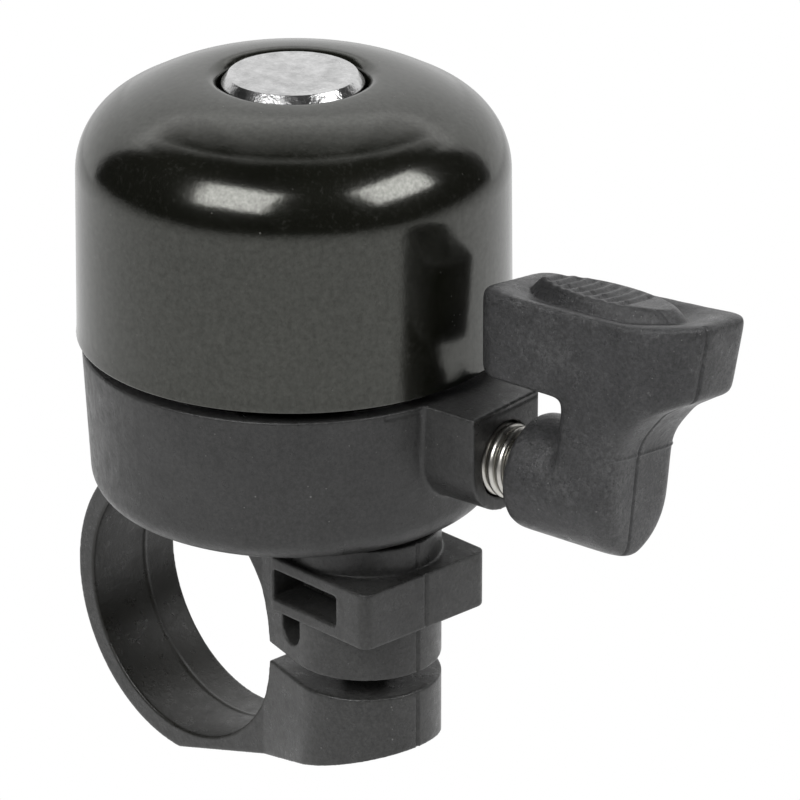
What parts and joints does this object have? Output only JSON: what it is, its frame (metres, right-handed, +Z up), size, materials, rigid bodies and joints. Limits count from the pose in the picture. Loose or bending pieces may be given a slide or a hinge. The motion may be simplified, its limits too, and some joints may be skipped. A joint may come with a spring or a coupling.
{
  "type": "bicycle bell",
  "caption": "Compact bicycle bell: black steel dome over a cup housing, sprung thumb lever with ribbed pad, and a band clamp for a handlebar.",
  "frame": {"origin": "centre of the handlebar bore, half way across the clamp band", "axes": "+Y along the handlebar, +Z up towards the dome, +X towards the clamp screw and the thumb lever"},
  "size_m": [0.0615, 0.035, 0.061],
  "materials": {
    "black_paint": "gloss",
    "black_plastic": "satin",
    "lever_plastic": "matte",
    "grey_plastic": "matte",
    "chrome": "polished",
    "plated_steel": "zinc plated",
    "spring_steel": "bright drawn wire"
  },
  "bodies": {
    "clamp": {"clamp_band": "black_plastic", "clamp_nut": "plated_steel", "swivel_washer": "grey_plastic", "centre_bolt": "plated_steel"},
    "screw": {"clamp_screw": "plated_steel", "screw_washer": "plated_steel"},
    "bell": {"housing": "black_plastic", "dome": "black_paint", "dome_cap": "chrome", "isolating_washer": "grey_plastic", "bolt_washer": "plated_steel", "striker_spring": "spring_steel"},
    "striker": {"thumb_lever": "lever_plastic", "striker_rod": "spring_steel", "hammer": "plated_steel"}
  },
  "joints": [
    {"name": "bell_swivel", "type": "hinge", "parent": "clamp", "child": "bell", "pos_m": [0.0092, 0, 0.0128], "axis": [0, 0, 1], "continuous": true},
    {"name": "lever_flick", "type": "hinge", "parent": "bell", "child": "striker", "pos_m": [0.03185, 0.00318, 0.0208], "axis": [-0.1392, 0.9903, 0], "range_deg": [-7, 4.6], "stiffness_Nm_per_rad": 0.5, "deforming": ["striker_spring"]},
    {"name": "clamp_screw_turn", "type": "hinge", "parent": "clamp", "child": "screw", "pos_m": [0.0174, 0, -0.0042], "axis": [0, 0, 1], "continuous": true}
  ]
}
